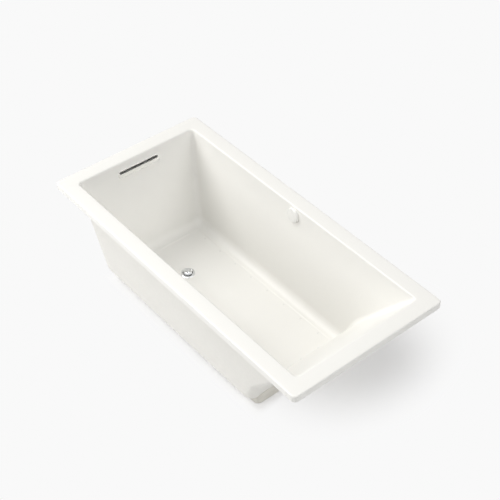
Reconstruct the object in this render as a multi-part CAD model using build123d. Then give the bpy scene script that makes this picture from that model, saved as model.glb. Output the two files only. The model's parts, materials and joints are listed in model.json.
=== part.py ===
from build123d import *
import os
from math import cos, radians, sin, sqrt, tan

os.makedirs("parts", exist_ok=True)

# Drop-in air bathtub, in millimetres. X runs from the drain end to the head end,
# Y from the front to the back wall and Z up from the floor that the base stands on.

# Overall form of the moulded tub
LENGTH = 1676.4
WIDTH = 812.8
BASIN_DEPTH = 502.0
RIM_WIDTH = 76.0
LIP_HEIGHT = 32.0
RIM_CORNER_R = 22.0
RIM_EDGE_R = 7.0
ACRYLIC = 4.0
BACKING = 5.0
BASE_HEIGHT = 30.0

# Basin walls: drafts are measured from the vertical, slopes from the horizontal
SIDE_DRAFT = radians(5.6)
DRAIN_END_DRAFT = radians(12.1)
BACK_SLOPE = radians(50.5)
FOOT_SLOPE = radians(67.0)
LUMBAR_HEIGHT = 40.0
FOOT_HEIGHT = 140.0
COVE_R = 45.0
FOOT_COVE_R = 18.0
CORNER_TOP_R = 20.0
CORNER_FOOT_R = 32.0
CORNER_TIGHTEN = 0.4
FLOOR_STEP = 2.5
STEP_MARGIN = 5.0
STEP_BEVEL = 5.0

# Base board, its pads and the wooden rails under the rim
BASE_SIDE_OVERLAP = 8.0
BASE_CORNER_R = 25.0
BASE_TURN_UP = 30.0
PAD_R = 35.0
PAD_THICK = 6.0
PAD_PROUD = 1.5
RAIL_WIDTH = 50.0
RAIL_THICK = 15.0
RAIL_GAP = 3.0
RAIL_CORNER_R = 12.0

# Drain
DRAIN_SETBACK = 447.0
DRAIN_FLANGE_R = 35.0
DRAIN_BARREL_R = 23.0
DRAIN_BORE_R = 19.0
DRAIN_SPIGOT_R = 22.0
DRAIN_SPIGOT = 13.0
DRAIN_SEAT_R = 21.8
DRAIN_CUTOUT_R = 55.0
DRAIN_SEAT_DROP = 3.0
STOPPER_TRAVEL = 8.0
STOPPER_KNOB_R = 11.0
STOPPER_KNOB_H = 9.0
POST_R = 5.0

# Slotted overflow in the drain-end wall
OVERFLOW_DROP = 59.0
OVERFLOW_LENGTH = 238.0
OVERFLOW_HEIGHT = 38.0
OVERFLOW_PLATE = 2.5
OVERFLOW_WINDOW = 12.0
OVERFLOW_LIP = 8.0
OVERFLOW_BODY_DEPTH = 34.0
PIPE_R = 20.0
PIPE_WALL = 2.7
PIPE_END_Z = 48.0
PIPE_SPIGOT_R = 19.4
PIPE_SPIGOT = 40.0

# Air on-off control in the back wall
CONTROL_X = 0.0
CONTROL_DROP = 47.0
CONTROL_R = 35.0
CONTROL_PROUD = 11.0
CONTROL_TAIL_R = 12.0
BUTTON_R = 28.0
BUTTON_TRAVEL = 3.0
TUBE_R = 3.0
TUBE_BEND_R = 42.0

# Air channel and jets under the floor
CHANNEL_WIDTH = 36.0
CHANNEL_HEIGHT = 22.0
CHANNEL_WALL = 2.5
CHANNEL_INSET = 12.0
CHANNEL_CORNER_R = 10.0
JETS_PER_SIDE = 8
JETS_AT_HEAD = 4
JET_HEAD_R = 4.5
JET_TAIL_R = 2.8
JET_BORE_R = 1.1
JET_END_GAP = 70.0
HEAD_JET_MARGIN = 60.0

# Blower, check valve and hose behind the drain end
SERVICE_INSET = 30.0
HOSE_R = 19.0
HOSE_WALL = 3.0
SCROLL_R = 52.0
SCROLL_DEPTH = 56.0
SHAFT_Z = 70.0
SHAFT_R = 4.0
IMPELLER_R = 38.0
IMPELLER_BLADES = 9
MOTOR_R = 40.0
MOTOR_LENGTH = 60.0
SHEET = 2.0
FOOT_PAD = 6.0
COVER_THICK = 3.0
SCREW_HEAD = 2.0
INLET_RISE = 70.0
INLET_REACH = 25.0
BLOWER_GAP = 5.0
TRAY_MARGIN = 24.0
LOOP_R = 69.0
VALVE_R = 23.0
VALVE_Z = 216.0
FLAP_R = 14.5

# Clearances
SEAT_GAP = 0.3
RUNNING_GAP = 0.08
HOLE_GAP = 0.4
PLAY = 0.5

LAYERS = ACRYLIC + BACKING
RIM_Z = BASIN_DEPTH + LAYERS + BASE_HEIGHT
FLOOR_Z = RIM_Z - BASIN_DEPTH
LEDGE_DEPTH = BASIN_DEPTH - FLOOR_STEP
BASIN_X = LENGTH / 2 - RIM_WIDTH
BASIN_Y = WIDTH / 2 - RIM_WIDTH
DRAIN_X = DRAIN_SETBACK - LENGTH / 2

# The lumbar bend is an arc that meets the slope above it and the foot below it
BEND_FOOT = BASIN_DEPTH - FOOT_HEIGHT
BEND_TOP = BEND_FOOT - LUMBAR_HEIGHT
BEND_R = LUMBAR_HEIGHT / (cos(BACK_SLOPE) - cos(FOOT_SLOPE))
BEND_CENTRE_X = BASIN_X - BEND_TOP / tan(BACK_SLOPE) + BEND_R * sin(BACK_SLOPE)
BEND_CENTRE_DEPTH = BEND_TOP + BEND_R * cos(BACK_SLOPE)
FOOT_X = BEND_CENTRE_X - BEND_R * sin(FOOT_SLOPE)


# Basin surface. Each wall is a function of the depth below the rim. A layer is the same
# surface grown outwards, so that the moulded layers nest.
def drain_end(depth, grow):
    """Distance of the drain-end wall from the middle of the basin."""
    return BASIN_X - depth * tan(DRAIN_END_DRAFT) + grow / cos(DRAIN_END_DRAFT)


def side_wall(depth, grow):
    """Distance of either side wall from the middle of the basin."""
    return BASIN_Y - depth * tan(SIDE_DRAFT) + grow / cos(SIDE_DRAFT)


def backrest(depth, grow):
    """Distance of the backrest: a straight slope, a long bend and a steep foot."""
    bend_r = BEND_R - grow
    if depth <= BEND_CENTRE_DEPTH - bend_r * cos(BACK_SLOPE):
        return BASIN_X + grow / sin(BACK_SLOPE) - depth / tan(BACK_SLOPE)
    if depth <= BEND_CENTRE_DEPTH - bend_r * cos(FOOT_SLOPE):
        return BEND_CENTRE_X - sqrt(bend_r**2 - (BEND_CENTRE_DEPTH - depth) ** 2)
    return FOOT_X + grow / sin(FOOT_SLOPE) - (depth - BEND_FOOT) / tan(FOOT_SLOPE)


def floor_depth(grow):
    """Depth of the flat floor: the ledge inside, a full layer below the field outside."""
    return LEDGE_DEPTH if grow == 0 else BASIN_DEPTH + grow


def coved(wall, draft, radius, depth, grow):
    """A wall whose foot curves into the floor on a round cove."""
    cove_r = radius + grow
    centre = floor_depth(grow) - cove_r
    if depth <= centre + cove_r * sin(draft):
        return wall(depth, grow)
    reach = sqrt(max(cove_r**2 - (depth - centre) ** 2, 0.0))
    return wall(centre, grow) - cove_r / cos(draft) + reach


def rim_flare(depth, grow):
    """How far the rounded edge of the rim stands back from the straight wall."""
    edge_r = RIM_EDGE_R - grow
    height = edge_r - (depth - grow)
    if edge_r <= 0 or height <= 0:
        return 0.0
    return edge_r - sqrt(edge_r**2 - min(height, edge_r) ** 2)


def basin_outline(depth, grow):
    """Drain-end X, head-end X, half width and corner radius at one depth."""
    depth = max(depth, grow)
    flare = rim_flare(depth, grow)
    left = coved(drain_end, DRAIN_END_DRAFT, COVE_R, depth, grow) + flare
    side = coved(side_wall, SIDE_DRAFT, COVE_R, depth, grow) + flare
    right = coved(backrest, radians(90) - FOOT_SLOPE, FOOT_COVE_R, depth, grow) + flare
    growth = (CORNER_FOOT_R - CORNER_TOP_R) * depth / BASIN_DEPTH
    inset = side_wall(depth, grow) - side + flare
    return -left, right, side, CORNER_TOP_R + growth + grow + flare - CORNER_TIGHTEN * inset


def basin_levels(grow, top):
    """Depths of the sections: rounded edge, slope, lumbar bend and cove."""
    edge_r = max(RIM_EDGE_R - grow, 0.0)
    bend_r = BEND_R - grow
    cove_r = COVE_R + grow
    turn = (FOOT_SLOPE - BACK_SLOPE) / 4
    edge = [grow + edge_r * (1 - cos(radians(a))) for a in (0, 30, 60, 90) if edge_r > 0]
    bend = [BEND_CENTRE_DEPTH - bend_r * cos(BACK_SLOPE + turn * n) for n in range(5)]
    centre = floor_depth(grow) - cove_r
    cove = [centre + cove_r * sin(radians(a)) for a in (8, 25, 45, 65, 90)]
    return [top] + [d for d in edge + bend + cove if d > top + 0.01]


def rounded_sheet(x0, x1, half_width, radius, z):
    """A rounded rectangle lying at a height."""
    return Pos((x0 + x1) / 2, 0, z) * RectangleRounded(x1 - x0, 2 * half_width, radius)


def basin(grow, top=-2.0):
    """The hollow of the basin as a solid, grown outwards by a layer's thickness."""
    sections = []
    for depth in basin_levels(grow, top):
        x0, x1, half_width, radius = basin_outline(depth, grow)
        sections.append(rounded_sheet(x0, x1, half_width, radius, RIM_Z - depth))
    return loft(sections, ruled=True)


# Small builders
def box(x0, x1, y0, y1, z0, z1):
    """A block between limits."""
    size = (x1 - x0, y1 - y0, z1 - z0)
    return Pos((x0 + x1) / 2, (y0 + y1) / 2, (z0 + z1) / 2) * Box(*size)


def rod(start, direction, radius, length):
    """A round bar from a point along a direction."""
    low = (Align.CENTER, Align.CENTER, Align.MIN)
    return Plane(origin=start, z_dir=direction) * Cylinder(radius, length, align=low)


def pipe(start, direction, outer, inner, length):
    """A tube from a point along a direction."""
    bar = rod(start, direction, outer, length)
    return bar - rod(start, direction, inner, length)


def hex_nut(plane, across_flats, bore, height):
    """A six-sided nut on a plane."""
    sketch = RegularPolygon(across_flats / 2, 6, major_radius=False) - Circle(bore)
    return plane * extrude(sketch, height)


def turned(profile, plane):
    """A part of revolution from radius and height points, placed on a plane."""
    face = make_face(Polyline(*[(r, 0, z) for r, z in profile], close=True))
    return plane * revolve(face, Axis.Z)


def swept_tube(points, radii, outer, inner):
    """A tube along straight runs joined by tangent arcs."""
    path = FilletPolyline(*points, radius=radii)
    ring = Plane(origin=path @ 0, z_dir=path % 0) * (Circle(outer) - Circle(inner))
    return sweep(ring, path=path)


# Places that several parts share
def at_wall(x, y, drop, normal, x_dir):
    return Plane(origin=(x, y, RIM_Z - drop), x_dir=x_dir, z_dir=normal)


OVERFLOW_PLANE = at_wall(
    -drain_end(OVERFLOW_DROP, 0), 0, OVERFLOW_DROP,
    (cos(DRAIN_END_DRAFT), 0, sin(DRAIN_END_DRAFT)), (0, 1, 0),
)
CONTROL_PLANE = at_wall(
    CONTROL_X, side_wall(CONTROL_DROP, 0), CONTROL_DROP,
    (0, -cos(SIDE_DRAFT), sin(SIDE_DRAFT)), (1, 0, 0),
)
FLAT_X0, FLAT_X1, FLAT_Y = basin_outline(floor_depth(LAYERS), LAYERS)[:3]
BASE_X0 = FLAT_X0 + STEP_MARGIN
BASE_X1 = backrest(floor_depth(LAYERS) - BASE_TURN_UP, LAYERS) + 1
BASE_Y = FLAT_Y + BASE_SIDE_OVERLAP
BASE_TOP = BASE_HEIGHT + BASE_TURN_UP
CHANNEL_X0 = BASE_X0 + CHANNEL_INSET
CHANNEL_X1 = FLAT_X1 - STEP_MARGIN
CHANNEL_Y = BASE_Y - CHANNEL_INSET
JET_LINE_Y = CHANNEL_Y - CHANNEL_WIDTH / 2
JET_LINE_X = CHANNEL_X1 - CHANNEL_WIDTH / 2
SERVICE_X = SERVICE_INSET - LENGTH / 2
BLOWER_X = SERVICE_X + SCROLL_R + 3
AIR_X = SERVICE_X + VALVE_R + 0.5
PIPE_X = SERVICE_X + PIPE_R + 6
INLET_X = -drain_end(floor_depth(0) - INLET_RISE, LAYERS) - HOSE_R - 22
HOSE_BORE = HOSE_R - HOSE_WALL
SPIGOT_R = HOSE_BORE - SEAT_GAP
SPIGOT_BORE = SPIGOT_R - 2.7
RAIL_Z = RIM_Z - LAYERS - RAIL_THICK
TRAY_Z = PAD_PROUD + SHEET
# The blower stands in front of the inlet box, clear of its cover and screw heads
SCROLL_FRONT = JET_LINE_Y - CHANNEL_WIDTH / 2 - BLOWER_GAP - SCREW_HEAD - COVER_THICK
SCROLL_Y = SCROLL_FRONT - SCROLL_DEPTH
MOTOR_Y = SCROLL_Y - MOTOR_LENGTH
RISER_Y = SCROLL_Y + SCROLL_DEPTH / 2
NIPPLE_Y = SCROLL_Y - 32
OUTLET_Z = SHAFT_Z + 64
LOOP_Z = RIM_Z - 79
LOOP_Y = RISER_Y + 2 * (LOOP_R + PLAY)
SCREW_R = 3.0
BOSS_OFFSET = (SCROLL_R + 2) / sqrt(2)
BOSSES = [(BLOWER_X + sx * BOSS_OFFSET, SHAFT_Z + sz * BOSS_OFFSET)
          for sx in (-1, 1) for sz in (-1, 1)]


def jet_places():
    """Floor positions of the air jets: two long rows and one across the head end."""
    first = CHANNEL_X0 + CHANNEL_WIDTH + 30
    step = (JET_LINE_X - JET_END_GAP - first) / (JETS_PER_SIDE - 1)
    rows = [(first + step * n, side * JET_LINE_Y)
            for side in (-1, 1) for n in range(JETS_PER_SIDE)]
    reach = JET_LINE_Y - HEAD_JET_MARGIN
    spread = 2 * reach / (JETS_AT_HEAD - 1)
    head = [(JET_LINE_X, spread * n - reach) for n in range(JETS_AT_HEAD)]
    return rows + head


# Moulded tub
def rim_block(grow, lip, bottom=0.0):
    """The rim as a solid block with rounded corners and top edge."""
    z0 = RIM_Z - lip - bottom
    corner = RIM_CORNER_R - grow
    sheet = rounded_sheet(grow - LENGTH / 2, LENGTH / 2 - grow, WIDTH / 2 - grow, corner, z0)
    block = extrude(sheet, RIM_Z - grow - z0)
    edge_r = RIM_EDGE_R - grow
    if edge_r > 0.5:
        block = fillet(block.faces().sort_by(Axis.Z)[-1].edges(), edge_r)
    return block


def wall_openings():
    """Cutters for the drain, the overflow, the control and the jets."""
    drain = rod((DRAIN_X, 0, 0), (0, 0, 1), DRAIN_BARREL_R + HOLE_GAP, FLOOR_Z + 10)
    slot = SlotOverall(OVERFLOW_LENGTH - 6, OVERFLOW_HEIGHT - 6)
    overflow = OVERFLOW_PLANE * extrude(slot, LAYERS + 6, both=True)
    control = CONTROL_PLANE * extrude(Circle(CONTROL_TAIL_R + HOLE_GAP), LAYERS + 6, both=True)
    jets = [rod((x, y, FLOOR_Z - 20), (0, 0, 1), JET_TAIL_R + HOLE_GAP / 2, 40)
            for x, y in jet_places()]
    return [drain, overflow, control] + jets


def tub_layer(inside, outside, lip):
    """One moulded layer between two grown surfaces, with its holes."""
    shell = rim_block(inside, lip) - rim_block(outside, lip, bottom=2.0)
    shell += basin(outside, top=inside)
    shell -= basin(inside)
    for cutter in wall_openings():
        shell -= cutter
    return shell


def floor_field():
    """The shallow recess in the floor, with its bevelled edge."""
    x0, x1, half_width, radius = basin_outline(LEDGE_DEPTH, 0)
    top = rounded_sheet(x0 + STEP_MARGIN, x1 - STEP_MARGIN, half_width - STEP_MARGIN,
                        radius, RIM_Z - LEDGE_DEPTH + 0.5)
    inset = STEP_MARGIN + STEP_BEVEL
    bottom = rounded_sheet(x0 + inset, x1 - inset, half_width - inset,
                           radius - STEP_BEVEL, FLOOR_Z)
    return loft([bottom, top], ruled=True)


def acrylic_shell():
    return tub_layer(0, ACRYLIC, LIP_HEIGHT) - floor_field()


def fibreglass_backing():
    return tub_layer(ACRYLIC, LAYERS, LIP_HEIGHT - 4)


def channel_ring(inset, z0, z1):
    """The racetrack of the air channel, inset from its outer face on both sides."""
    width = CHANNEL_WIDTH - inset
    outer = rounded_sheet(CHANNEL_X0 + inset, CHANNEL_X1 - inset, CHANNEL_Y - inset,
                          CHANNEL_CORNER_R - inset, z0)
    inner = rounded_sheet(CHANNEL_X0 + width, CHANNEL_X1 - width, CHANNEL_Y - width, 8, z0)
    return extrude(outer, z1 - z0) - extrude(inner, z1 - z0)


def pad_places():
    pad_y = CHANNEL_Y - CHANNEL_WIDTH - PAD_R - 10
    ends = (DRAIN_X - DRAIN_CUTOUT_R - PAD_R - 15, CHANNEL_X1 - CHANNEL_WIDTH - PAD_R - 10)
    middle = (ends[0] + ends[1]) / 2
    return [(x, y * pad_y) for x in (ends[0], middle, ends[1]) for y in (-1, 1)]


def base_board():
    """Base board bonded under the floor, turned up at the head end to meet the shell."""
    outline = rounded_sheet(BASE_X0, BASE_X1, BASE_Y, BASE_CORNER_R, PAD_PROUD)
    board = extrude(outline, BASE_TOP - PAD_PROUD) - basin(LAYERS)
    board -= channel_ring(-2, BASE_HEIGHT - CHANNEL_HEIGHT - 2, BASE_HEIGHT)
    board -= rod((DRAIN_X, 0, 0), (0, 0, 1), DRAIN_CUTOUT_R, BASE_HEIGHT)
    board -= box(BASE_X0 - 1, CHANNEL_X0 + 5, JET_LINE_Y - 14, JET_LINE_Y + 14, 11, 27)
    for x, y in pad_places():
        board -= rod((x, y, 0), (0, 0, 1), PAD_R + SEAT_GAP, PAD_THICK)
    return board


def levelling_pads():
    return [rod((x, y, 0), (0, 0, 1), PAD_R, PAD_THICK) for x, y in pad_places()]


def end_rail(x0, x1, half_length):
    """A rail across one end, rounded to clear the corners of the rim."""
    return extrude(rounded_sheet(x0, x1, half_length, RAIL_CORNER_R, RAIL_Z), RAIL_THICK)


def rim_rails():
    """Wooden rails bonded under the rim, one along each side."""
    y1 = WIDTH / 2 - LAYERS - RAIL_GAP
    x1 = LENGTH / 2 - LAYERS - RAIL_GAP
    long_end = x1 - RAIL_WIDTH - RAIL_GAP
    z0, z1 = RAIL_Z, RAIL_Z + RAIL_THICK
    return {
        "rim_rail_front": box(-long_end, long_end, -y1, RAIL_WIDTH - y1, z0, z1),
        "rim_rail_back": box(-long_end, long_end, y1 - RAIL_WIDTH, y1, z0, z1),
        "rim_rail_drain_end": end_rail(-x1, RAIL_WIDTH - x1, y1),
        "rim_rail_head_end": end_rail(x1 - RAIL_WIDTH, x1, y1),
    }


# Drain
def drain_parts():
    axis = Plane(origin=(DRAIN_X, 0, 0))
    seat_z = FLOOR_Z - DRAIN_SEAT_DROP
    low = 4.0
    flange = turned(
        [(DRAIN_BORE_R, low), (DRAIN_SPIGOT_R, low), (DRAIN_SPIGOT_R, low + DRAIN_SPIGOT),
         (DRAIN_BARREL_R, low + DRAIN_SPIGOT), (DRAIN_BARREL_R, FLOOR_Z),
         (DRAIN_FLANGE_R, FLOOR_Z), (DRAIN_FLANGE_R, FLOOR_Z + 1.4),
         (DRAIN_FLANGE_R - 3, FLOOR_Z + 3), (DRAIN_SEAT_R + 4, FLOOR_Z + 3),
         (DRAIN_SEAT_R, FLOOR_Z + 0.6), (DRAIN_SEAT_R, seat_z), (DRAIN_BORE_R, seat_z)],
        axis)
    bar_z = seat_z - 22
    for turn in (0, 90):
        bar = Rot(0, 0, turn) * Box(2 * DRAIN_BORE_R + 2, 3, 4)
        flange += Pos(DRAIN_X, 0, bar_z) * bar
    flange += rod((DRAIN_X, 0, bar_z - 2), (0, 0, 1), 7, 4)
    flange -= rod((DRAIN_X, 0, bar_z - 3), (0, 0, 1), 3.2, 6)
    under = BASE_HEIGHT
    gasket = pipe((DRAIN_X, 0, under - 2.5), (0, 0, 1), 34, DRAIN_BARREL_R + SEAT_GAP, 2.5)
    nut_plane = Plane(origin=(DRAIN_X, 0, under - 11))
    locknut = hex_nut(nut_plane, 60, DRAIN_BARREL_R + 0.15, 8.5)
    post_top = seat_z + 10
    post = rod((DRAIN_X, 0, bar_z + 2), (0, 0, 1), POST_R, post_top - bar_z - 2)
    post += rod((DRAIN_X, 0, bar_z - 6), (0, 0, 1), 3.1, 9)
    # The stopper stands open at rest and drops by its travel to close
    seal_z = seat_z + SEAT_GAP + STOPPER_TRAVEL
    disc_z = seal_z + 2
    top_z = disc_z + 2.5 + STOPPER_KNOB_H
    sleeve_r = POST_R + 3
    cap = turned(
        [(0, disc_z - 12), (sleeve_r, disc_z - 12), (sleeve_r, disc_z),
         (DRAIN_SEAT_R - PLAY, disc_z), (DRAIN_SEAT_R - PLAY, disc_z + 1.2),
         (STOPPER_KNOB_R + 2, disc_z + 2.5), (STOPPER_KNOB_R, disc_z + 3.5),
         (STOPPER_KNOB_R, top_z - 1.5), (STOPPER_KNOB_R - 1.5, top_z), (0, top_z)],
        axis)
    hole_top = post_top + STOPPER_TRAVEL + PLAY
    cap -= rod((DRAIN_X, 0, disc_z - 13), (0, 0, 1), POST_R + RUNNING_GAP,
               hole_top - disc_z + 13)
    seal = pipe((DRAIN_X, 0, seal_z), (0, 0, 1), DRAIN_SEAT_R - 0.8, sleeve_r + 0.1, 2)
    return {"drain_flange": flange, "drain_gasket": gasket, "drain_locknut": locknut,
            "stopper_post": post, "stopper_cap": cap, "stopper_seal": seal}


# Overflow
def slot_ring(length, height, wall, z0, z1):
    """An obround frame on the overflow's plane."""
    frame = SlotOverall(length, height) - SlotOverall(length - 2 * wall, height - 2 * wall)
    return OVERFLOW_PLANE * Pos(0, 0, z0) * extrude(frame, z1 - z0)


def overflow_trim():
    """Chrome plate with the inlet window above and a raised lip under the window."""
    half = OVERFLOW_HEIGHT / 2
    window_y = half - 3 - OVERFLOW_WINDOW / 2
    plate = SlotOverall(OVERFLOW_LENGTH, OVERFLOW_HEIGHT)
    plate -= Pos(0, window_y) * SlotOverall(OVERFLOW_LENGTH - 14, OVERFLOW_WINDOW)
    trim = extrude(plate, OVERFLOW_PLATE)
    lip_y = window_y - OVERFLOW_WINDOW / 2 - 1.4
    lip = Pos(0, lip_y, 0) * SlotOverall(OVERFLOW_LENGTH - 18, 2.6)
    trim += extrude(lip, OVERFLOW_LIP)
    trim = OVERFLOW_PLANE * trim
    return trim + slot_ring(OVERFLOW_LENGTH - 7, OVERFLOW_HEIGHT - 7, 1.6, -LAYERS - 6, 0)


def overflow_body():
    """Plastic waste box behind the wall, with its outlet pointing down."""
    length = OVERFLOW_LENGTH + 14
    height = OVERFLOW_HEIGHT + 14
    back = -LAYERS - 2.5
    shell = Pos(0, 0, back - OVERFLOW_BODY_DEPTH) * extrude(
        SlotOverall(length, height), OVERFLOW_BODY_DEPTH)
    hollow = Pos(0, 0, back - OVERFLOW_BODY_DEPTH + 3) * extrude(
        SlotOverall(length - 6, height - 6), OVERFLOW_BODY_DEPTH)
    body = OVERFLOW_PLANE * shell
    spigot_top = RIM_Z - OVERFLOW_DROP - height / 2 + 6
    outlet = (PIPE_X, 0, spigot_top)
    spigot_r = PIPE_R - PIPE_WALL - SEAT_GAP
    body += rod(outlet, (0, 0, -1), spigot_r, 42)
    body -= OVERFLOW_PLANE * hollow
    return body - rod((PIPE_X, 0, spigot_top + 4), (0, 0, -1), spigot_r - 3, 60)


PIPE_TOP = RIM_Z - OVERFLOW_DROP - (OVERFLOW_HEIGHT + 14) / 2 - 14


def pipe_clip():
    """Arm from the drain-end wall that holds the overflow pipe's lower end."""
    z0 = PIPE_END_Z + 90
    arm = box(PIPE_X, BASE_X0 - 20, -7, 7, z0, z0 + 16)
    arm += rod((PIPE_X, 0, z0), (0, 0, 1), PIPE_R + 3, 16)
    arm -= rod((PIPE_X, 0, z0 - 1), (0, 0, 1), PIPE_R + 0.2, 18)
    return arm - basin(LAYERS)


def overflow_parts():
    down = (0, 0, -1)
    bore, step = PIPE_R - PIPE_WALL, PIPE_END_Z + PIPE_SPIGOT
    tube = turned([(bore, PIPE_END_Z), (PIPE_SPIGOT_R, PIPE_END_Z), (PIPE_SPIGOT_R, step),
                   (PIPE_R, step), (PIPE_R, PIPE_TOP), (bore, PIPE_TOP)],
                  Plane(origin=(PIPE_X, 0, 0)))
    gasket = slot_ring(OVERFLOW_LENGTH + 14, OVERFLOW_HEIGHT + 14, 9.5, -LAYERS - 2.5, -LAYERS)
    nut = pipe((PIPE_X, 0, PIPE_TOP + 2), down, PIPE_R + 6, PIPE_R + 0.2, 18)
    for turn in range(0, 360, 45):
        rib = Rot(0, 0, turn) * Pos(PIPE_R + 6, 0, 0) * Box(3, 4, 18)
        nut += Pos(PIPE_X, 0, PIPE_TOP - 7) * rib
    return {"overflow_trim": overflow_trim(), "overflow_gasket": gasket,
            "overflow_body": overflow_body(), "overflow_slip_nut": nut,
            "overflow_pipe": tube, "pipe_clip": pipe_clip()}


# Air control
def control_parts():
    tail_end = -LAYERS - 29
    bore = CONTROL_TAIL_R - 4
    recess = BUTTON_R + HOLE_GAP
    bezel = turned(
        [(bore, tail_end), (CONTROL_TAIL_R, tail_end), (CONTROL_TAIL_R, 0), (CONTROL_R, 0),
         (CONTROL_R, CONTROL_PROUD - 3.5), (CONTROL_R - 1.2, CONTROL_PROUD - 1.2),
         (CONTROL_R - 3.5, CONTROL_PROUD), (recess, CONTROL_PROUD), (recess, 2.2), (bore, 2.2)],
        CONTROL_PLANE)
    gasket = CONTROL_PLANE * Pos(0, 0, -LAYERS - 2) * extrude(
        Circle(18.5) - Circle(CONTROL_TAIL_R + SEAT_GAP), 2)
    locknut = hex_nut(CONTROL_PLANE.offset(-LAYERS - 10), 34, CONTROL_TAIL_R + 0.15, 8)
    stem_r = bore - 4
    face = 2.2 + BUTTON_TRAVEL + SEAT_GAP
    stem_end = -16.0
    button = turned(
        [(0, stem_end), (stem_r, stem_end), (stem_r, face), (BUTTON_R, face),
         (BUTTON_R, CONTROL_PROUD), (BUTTON_R - 2.5, CONTROL_PROUD + 1), (0, CONTROL_PROUD + 1.4)],
        CONTROL_PLANE)
    chamber = turned(
        [(0, tail_end - 6), (CONTROL_TAIL_R - 1, tail_end - 6), (CONTROL_TAIL_R - 1, tail_end),
         (bore - 0.05, tail_end), (bore - 0.05, 0), (stem_r + RUNNING_GAP, 0),
         (stem_r + RUNNING_GAP, stem_end - BUTTON_TRAVEL - 2), (0, stem_end - BUTTON_TRAVEL - 2)],
        CONTROL_PLANE)
    start = CONTROL_PLANE.from_local_coords((0, 0, tail_end - 3))
    chamber += rod((start.X, start.Y, start.Z), (-1, 0, 0), 1.6, CONTROL_TAIL_R + 7)
    return {"control_bezel": bezel, "control_gasket": gasket, "control_locknut": locknut,
            "control_air_chamber": chamber, "button_cap": button}


TUBE_START = CONTROL_PLANE.from_local_coords((0, 0, -LAYERS - 32))
BOX_TOP = SHAFT_Z + MOTOR_R + 32


def control_tube():
    """Air tube from the control, under the back rail and down to the blower's switch."""
    wall_x = -drain_end(200, LAYERS)
    nipple_x = BLOWER_X + 13
    y, z = TUBE_START.Y, TUBE_START.Z
    drop = z - BOX_TOP
    side = y - NIPPLE_Y
    points = [(CONTROL_X - CONTROL_TAIL_R, y, z), (wall_x + 140, y, z),
              (wall_x - 4, y - 0.07 * side, z - 0.13 * drop),
              (wall_x - 12, y - 0.22 * side, z - 0.31 * drop),
              (wall_x - 12, y - 0.55 * side, z - 0.48 * drop),
              (nipple_x, NIPPLE_Y + 0.12 * side, z - 0.66 * drop),
              (nipple_x, NIPPLE_Y, z - 0.83 * drop), (nipple_x, NIPPLE_Y, BOX_TOP + 1)]
    return swept_tube(points, [TUBE_BEND_R] * (len(points) - 2), TUBE_R, TUBE_R - 1.2)


def tube_clips():
    """Saddle clips that carry the tube under the back rail."""
    clips = []
    for n in range(4):
        x = CONTROL_X - 90 - 145 * n
        y, z = TUBE_START.Y, TUBE_START.Z
        clip = box(x - 4, x + 4, y - 5, y + 5, z - 5, RAIL_Z)
        clips.append(clip - rod((x - 5, y, z), (1, 0, 0), TUBE_R + 0.1, 10))
    return clips


# Air system
def air_channel():
    z0 = BASE_HEIGHT - CHANNEL_HEIGHT
    trough = channel_ring(0, z0, BASE_HEIGHT)
    trough -= channel_ring(CHANNEL_WALL, z0 + CHANNEL_WALL, BASE_HEIGHT)
    return trough - box(CHANNEL_X0 - 1, CHANNEL_X0 + CHANNEL_WALL + 1,
                        JET_LINE_Y - 13, JET_LINE_Y + 13, 12, 26)


def air_jets():
    """Small nozzles pressed through the floor into the channel."""
    profile = [(JET_BORE_R, FLOOR_Z - 13), (JET_TAIL_R, FLOOR_Z - 13), (JET_TAIL_R, FLOOR_Z),
               (JET_HEAD_R, FLOOR_Z), (JET_HEAD_R, FLOOR_Z + 0.5),
               (JET_HEAD_R - 1.2, FLOOR_Z + 1.2), (JET_BORE_R, FLOOR_Z + 1.2)]
    return [turned(profile, Plane(origin=(x, y, 0))) for x, y in jet_places()]


def air_inlet_box():
    """Flat box on the tray that leads the hose into the channel's side."""
    y0, y1 = JET_LINE_Y - CHANNEL_WIDTH / 2, JET_LINE_Y + CHANNEL_WIDTH / 2
    x0, x1 = INLET_X - INLET_REACH, BASE_X0 - 15
    z0, z1 = TRAY_Z, BASE_HEIGHT
    body = box(x0, x1, y0, y1, z0, z1)
    body += box(x1 - 1, CHANNEL_X0 + 1, y0 + 5.3, y1 - 5.3, 12.3, 25.7)
    body += rod((INLET_X, JET_LINE_Y, z1 - 1), (0, 0, 1), SPIGOT_R, 29)
    body -= box(x0 + 2.5, x1 - 2.5, y0 + 2.5, y1 - 2.5, z0 + 2.5, z1 - 2.5)
    body -= box(x1 - 4, CHANNEL_X0 + 2, y0 + 7.5, y1 - 7.5, 14.3, 23.7)
    return body - rod((INLET_X, JET_LINE_Y, z1 - 4), (0, 0, 1), SPIGOT_BORE, 34)


def hose_loop():
    """Hose from the check valve, up under the rim and down to the inlet box."""
    low = 32.0 + BASE_HEIGHT - 24
    bend_r = 150.0
    points = [(AIR_X, RISER_Y, VALVE_Z + 52), (AIR_X, RISER_Y, LOOP_Z), (AIR_X, LOOP_Y, LOOP_Z),
              (AIR_X, LOOP_Y, LOOP_Z - 150), (INLET_X, JET_LINE_Y, 150),
              (INLET_X, JET_LINE_Y, low)]
    return swept_tube(points, [LOOP_R, LOOP_R, bend_r, bend_r], HOSE_R, HOSE_BORE)


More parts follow.
